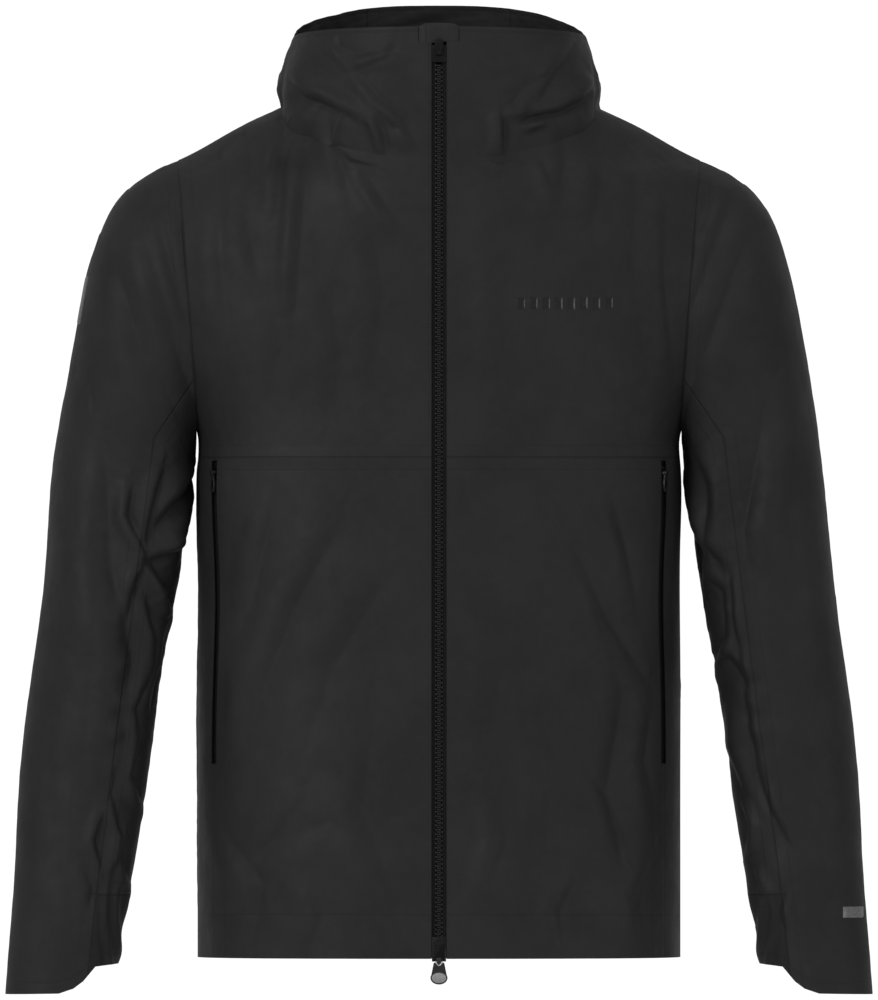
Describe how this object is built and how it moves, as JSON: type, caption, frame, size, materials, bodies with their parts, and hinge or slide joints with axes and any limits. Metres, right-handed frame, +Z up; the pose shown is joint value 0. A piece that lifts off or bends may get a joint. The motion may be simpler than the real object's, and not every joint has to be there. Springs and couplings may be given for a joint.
{
  "type": "hooded hardshell jacket",
  "caption": "Hooded hardshell jacket in matte black, zipped up, with its hood down, hanging sleeves, zipped hand pockets and a two-way front zip.",
  "frame": {"origin": "lowest point of the hang loop inside the back of the neck", "axes": "+Z up, along the body's length, +Y to the wearer's back, +X to the wearer's left"},
  "size_m": [0.7116, 0.3118, 0.8122],
  "materials": {
    "shell_fabric": "matte black woven face with a taped back",
    "lining_fabric": "smooth dark backing",
    "elastic_fabric": "gathered stretch weave",
    "loop_tape": "flat woven tape",
    "label": "plain woven label with no lettering",
    "zip_tape": "fine herringbone tape",
    "zip_teeth": "moulded satin teeth",
    "slider_metal": "black coated casting",
    "puller": "soft moulded black",
    "puller_inlay": "light grey, slightly rough",
    "reflective_print": "dark grey reflective print"
  },
  "bodies": {
    "jacket": {"back_panel": "shell_fabric", "back_yoke": "shell_fabric", "chest_mark": "reflective_print", "collar_front_left": "shell_fabric", "collar_front_right": "shell_fabric", "collar_stand": "lining_fabric", "cuff_elastic_left": "elastic_fabric", "cuff_elastic_right": "elastic_fabric", "cuff_tab": "reflective_print", "front_yoke_left": "shell_fabric", "front_yoke_right": "shell_fabric", "hang_loop": "loop_tape", "hem_facing": "lining_fabric", "hood_brim": "shell_fabric", "hood_centre": "shell_fabric", "hood_side_left": "shell_fabric", "hood_side_right": "shell_fabric", "lower_front_left": "shell_fabric", "lower_front_right": "shell_fabric", "neck_label": "label", "pocket_bag_left": "lining_fabric", "pocket_bag_right": "lining_fabric", "pocket_coil_left": "zip_teeth", "pocket_coil_right": "zip_teeth", "pocket_tape_left": "zip_tape", "pocket_tape_right": "zip_tape", "reflective_patch": "reflective_print", "side_panel_left": "shell_fabric", "side_panel_right": "shell_fabric", "sleeve_under_left": "shell_fabric", "sleeve_under_right": "shell_fabric", "sleeve_upper_left": "shell_fabric", "sleeve_upper_right": "shell_fabric", "storm_flap": "lining_fabric", "zip_garage": "shell_fabric", "zip_pin_left": "zip_teeth", "zip_pin_right": "zip_teeth", "zip_tape_left": "zip_tape", "zip_tape_right": "zip_tape", "zip_teeth_left": "zip_teeth", "zip_teeth_right": "zip_teeth"},
    "main_top_slider": {"top_slider": "slider_metal"},
    "main_top_puller": {"top_puller": "puller"},
    "main_bottom_slider": {"bottom_slider": "slider_metal"},
    "main_bottom_puller": {"bottom_puller": "puller", "puller_inlay": "puller_inlay"},
    "right_pocket_slider": {"pocket_slider_right": "slider_metal"},
    "right_pocket_puller": {"pocket_puller_right": "puller"},
    "left_pocket_slider": {"pocket_slider_left": "slider_metal"},
    "left_pocket_puller": {"pocket_puller_left": "puller"}
  },
  "joints": [
    {"name": "top_slider_run", "type": "slide", "parent": "jacket", "child": "main_top_slider", "axis": [0, -0.0462, -0.9989], "range_m": [0, 0.54], "deforming": ["zip_teeth_right", "zip_teeth_left"]},
    {"name": "top_puller_swing", "type": "hinge", "parent": "main_top_slider", "child": "main_top_puller", "pos_m": [0, -0.17762, 0.04179], "axis": [1, 0, 0], "range_deg": [0, 170]},
    {"name": "bottom_slider_run", "type": "slide", "parent": "jacket", "child": "main_bottom_slider", "axis": [0, 0.0462, 0.9989], "range_m": [0, 0.15], "deforming": ["zip_teeth_right", "zip_teeth_left"]},
    {"name": "bottom_puller_swing", "type": "hinge", "parent": "main_bottom_slider", "child": "main_bottom_puller", "pos_m": [0, -0.21182, -0.69842], "axis": [-1, 0, 0], "range_deg": [0, 150]},
    {"name": "right_pocket_slider_run", "type": "slide", "parent": "jacket", "child": "right_pocket_slider", "axis": [0, -0.0236, -0.9997], "range_m": [0, 0.228], "deforming": ["pocket_coil_right"]},
    {"name": "right_pocket_puller_swing", "type": "hinge", "parent": "right_pocket_slider", "child": "right_pocket_puller", "pos_m": [-0.1853, -0.13278, -0.30098], "axis": [-0.496, 0.8681, -0.0205], "range_deg": [0, 150]},
    {"name": "left_pocket_slider_run", "type": "slide", "parent": "jacket", "child": "left_pocket_slider", "axis": [0, -0.0236, -0.9997], "range_m": [0, 0.228], "deforming": ["pocket_coil_left"]},
    {"name": "left_pocket_puller_swing", "type": "hinge", "parent": "left_pocket_slider", "child": "left_pocket_puller", "pos_m": [0.1853, -0.13278, -0.30098], "axis": [-0.496, -0.8681, 0.0205], "range_deg": [0, 150]}
  ]
}
